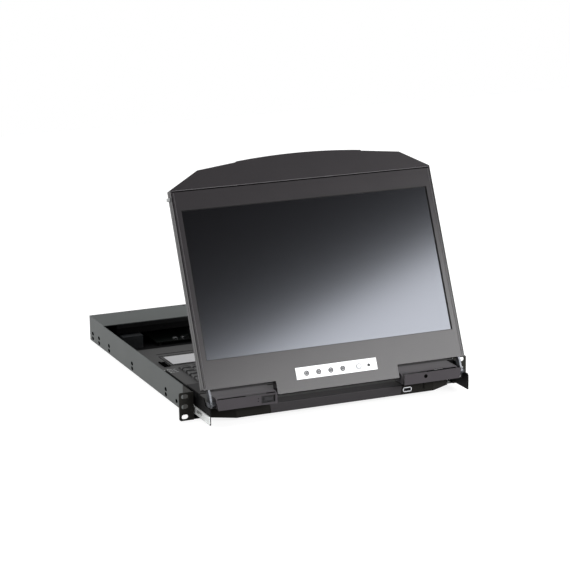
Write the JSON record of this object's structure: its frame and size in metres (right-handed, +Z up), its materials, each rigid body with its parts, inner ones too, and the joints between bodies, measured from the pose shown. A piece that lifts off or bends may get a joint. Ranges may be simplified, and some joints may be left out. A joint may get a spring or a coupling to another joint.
{
  "type": "rackmount lcd console drawer",
  "caption": "Flat rack drawer with a flip-up screen on a sliding carriage and a keyboard drawer on runners beneath it.",
  "frame": {"origin": "middle of the rack hole pattern, in the plane of the ears' front faces", "axes": "+X to the user's right, +Y to the back of the rack, +Z up"},
  "size_m": [0.4826, 0.575, 0.3743],
  "materials": {
    "black_painted_steel": "satin",
    "black_plastic": "satin",
    "bracket_steel": "satin",
    "bright_zinc": "bright zinc plated",
    "circuit_board": "lacquered",
    "connector_steel": "bright",
    "deck_plastic": "fine texture",
    "display_glass": "gloss",
    "grey_painted_steel": "semi-matt",
    "grip_plastic": "fine texture",
    "keycap_plastic": "satin",
    "label_film": "satin",
    "lens_plastic": "gloss",
    "screen_moulding": "fine texture",
    "supply_case": "mill finish",
    "white_plastic": "satin"
  },
  "bodies": {
    "housing": {"housing_tray": "grey_painted_steel", "rear_cover": "grey_painted_steel", "ear_left": "black_painted_steel", "ear_right": "black_painted_steel", "housing_screws": "bright_zinc", "screen_rails_outer": "bright_zinc", "keyboard_rail_brackets": "black_painted_steel", "keyboard_rails_outer": "bright_zinc", "electronics_cover": "black_painted_steel", "power_supply": "supply_case", "interface_board": "circuit_board", "rear_connectors": "connector_steel", "power_inlet": "black_plastic"},
    "carriage": {"side_plates": "black_painted_steel", "screen_rails_inner": "bright_zinc", "carriage_plate": "bracket_steel", "hinge_bracket_left": "bracket_steel", "hinge_bracket_right": "bracket_steel", "hinge_covers": "screen_moulding", "hinge_barrels": "bright_zinc", "carriage_rivets": "bright_zinc"},
    "screen": {"screen_back_cover": "screen_moulding", "screen_bezel": "screen_moulding", "lcd_panel": "display_glass", "screen_handle": "screen_moulding", "control_strip": "white_plastic", "status_lens": "lens_plastic", "screen_boards": "circuit_board", "hinge_arms": "bright_zinc", "hinge_pins": "bright_zinc"},
    "keyboard_drawer": {"keyboard_tray": "black_painted_steel", "keyboard_deck": "deck_plastic", "handle_grip": "grip_plastic", "handle_end_left": "black_plastic", "handle_end_right": "black_plastic", "usb_port": "connector_steel", "switch_plate": "black_painted_steel", "touchpad": "black_plastic", "label_plate": "label_film", "lock_lights": "lens_plastic", "keyboard_rails_inner": "bright_zinc"},
    "drawer_runners": {"keyboard_rails_middle": "bright_zinc"},
    "power_rocker": {"rocker_switch": "black_plastic"},
    "osd_button_1_cap": {"osd_button_1": "black_plastic"},
    "osd_button_2_cap": {"osd_button_2": "black_plastic"},
    "osd_button_3_cap": {"osd_button_3": "black_plastic"},
    "osd_button_4_cap": {"osd_button_4": "black_plastic"},
    "power_button_cap": {"power_button": "black_plastic"},
    "latch_left_bolt": {"latch_left": "bright_zinc"},
    "catch_left_slider": {"catch_left": "black_plastic"},
    "pad_button_left": {"touchpad_button_left": "black_plastic"},
    "latch_right_bolt": {"latch_right": "bright_zinc"},
    "catch_right_slider": {"catch_right": "black_plastic"},
    "pad_button_right": {"touchpad_button_right": "black_plastic"},
    "keys_function_row": {"keys_function": "keycap_plastic"},
    "keys_number_row": {"keys_number": "keycap_plastic"},
    "keys_upper_row": {"keys_upper": "keycap_plastic"},
    "keys_home_row": {"keys_home": "keycap_plastic"},
    "keys_lower_row": {"keys_lower": "keycap_plastic"},
    "keys_space_row": {"keys_space": "keycap_plastic"}
  },
  "joints": [
    {"name": "carriage_slide", "type": "slide", "parent": "housing", "child": "carriage", "axis": [0, 1, 0], "range_m": [0, 0.365]},
    {"name": "screen_hinge", "type": "hinge", "parent": "carriage", "child": "screen", "pos_m": [0, -0.0448, 0.0124], "axis": [1, 0, 0], "range_deg": [-6.6, 113.4]},
    {"name": "drawer_slide", "type": "slide", "parent": "housing", "child": "keyboard_drawer", "axis": [0, -1, 0], "range_m": [0, 0.33]},
    {"name": "runner_slide", "type": "slide", "parent": "housing", "child": "drawer_runners", "axis": [0, -1, 0], "range_m": [0, 0.165]},
    {"name": "rocker_pivot", "type": "hinge", "parent": "housing", "child": "power_rocker", "pos_m": [-0.128, 0.5076, -0.001], "axis": [1, 0, 0], "range_deg": [0, 12]},
    {"name": "osd_button_1_press", "type": "slide", "parent": "screen", "child": "osd_button_1_cap", "axis": [0, 0.9178, -0.3971], "range_m": [0, 0.0007], "stiffness_N_per_m": 900},
    {"name": "osd_button_2_press", "type": "slide", "parent": "screen", "child": "osd_button_2_cap", "axis": [0, 0.9178, -0.3971], "range_m": [0, 0.0007], "stiffness_N_per_m": 900},
    {"name": "osd_button_3_press", "type": "slide", "parent": "screen", "child": "osd_button_3_cap", "axis": [0, 0.9178, -0.3971], "range_m": [0, 0.0007], "stiffness_N_per_m": 900},
    {"name": "osd_button_4_press", "type": "slide", "parent": "screen", "child": "osd_button_4_cap", "axis": [0, 0.9178, -0.3971], "range_m": [0, 0.0007], "stiffness_N_per_m": 900},
    {"name": "power_button_press", "type": "slide", "parent": "screen", "child": "power_button_cap", "axis": [0, 0.9178, -0.3971], "range_m": [0, 0.0007], "stiffness_N_per_m": 900},
    {"name": "latch_left_slide", "type": "slide", "parent": "screen", "child": "latch_left_bolt", "axis": [1, 0, 0], "range_m": [0, 0.0046], "stiffness_N_per_m": 700},
    {"name": "catch_left_slide", "type": "slide", "parent": "keyboard_drawer", "child": "catch_left_slider", "axis": [1, 0, 0], "range_m": [0, 0.003], "stiffness_N_per_m": 400},
    {"name": "pad_button_left_press", "type": "slide", "parent": "keyboard_drawer", "child": "pad_button_left", "axis": [0, 0, -1], "range_m": [0, 0.0008], "stiffness_N_per_m": 900},
    {"name": "latch_right_slide", "type": "slide", "parent": "screen", "child": "latch_right_bolt", "axis": [-1, 0, 0], "range_m": [0, 0.0046], "stiffness_N_per_m": 700},
    {"name": "catch_right_slide", "type": "slide", "parent": "keyboard_drawer", "child": "catch_right_slider", "axis": [-1, 0, 0], "range_m": [0, 0.003], "stiffness_N_per_m": 400},
    {"name": "pad_button_right_press", "type": "slide", "parent": "keyboard_drawer", "child": "pad_button_right", "axis": [0, 0, -1], "range_m": [0, 0.0008], "stiffness_N_per_m": 900},
    {"name": "keys_function_press", "type": "slide", "parent": "keyboard_drawer", "child": "keys_function_row", "axis": [0, 0, -1], "range_m": [0, 0.002], "stiffness_N_per_m": 2500},
    {"name": "keys_number_press", "type": "slide", "parent": "keyboard_drawer", "child": "keys_number_row", "axis": [0, 0, -1], "range_m": [0, 0.002], "stiffness_N_per_m": 2500},
    {"name": "keys_upper_press", "type": "slide", "parent": "keyboard_drawer", "child": "keys_upper_row", "axis": [0, 0, -1], "range_m": [0, 0.002], "stiffness_N_per_m": 2500},
    {"name": "keys_home_press", "type": "slide", "parent": "keyboard_drawer", "child": "keys_home_row", "axis": [0, 0, -1], "range_m": [0, 0.002], "stiffness_N_per_m": 2500},
    {"name": "keys_lower_press", "type": "slide", "parent": "keyboard_drawer", "child": "keys_lower_row", "axis": [0, 0, -1], "range_m": [0, 0.002], "stiffness_N_per_m": 2500},
    {"name": "keys_space_press", "type": "slide", "parent": "keyboard_drawer", "child": "keys_space_row", "axis": [0, 0, -1], "range_m": [0, 0.002], "stiffness_N_per_m": 2500}
  ],
  "couplings": [
    {"joint": "runner_slide", "follows": "drawer_slide", "ratio": 0.5}
  ]
}
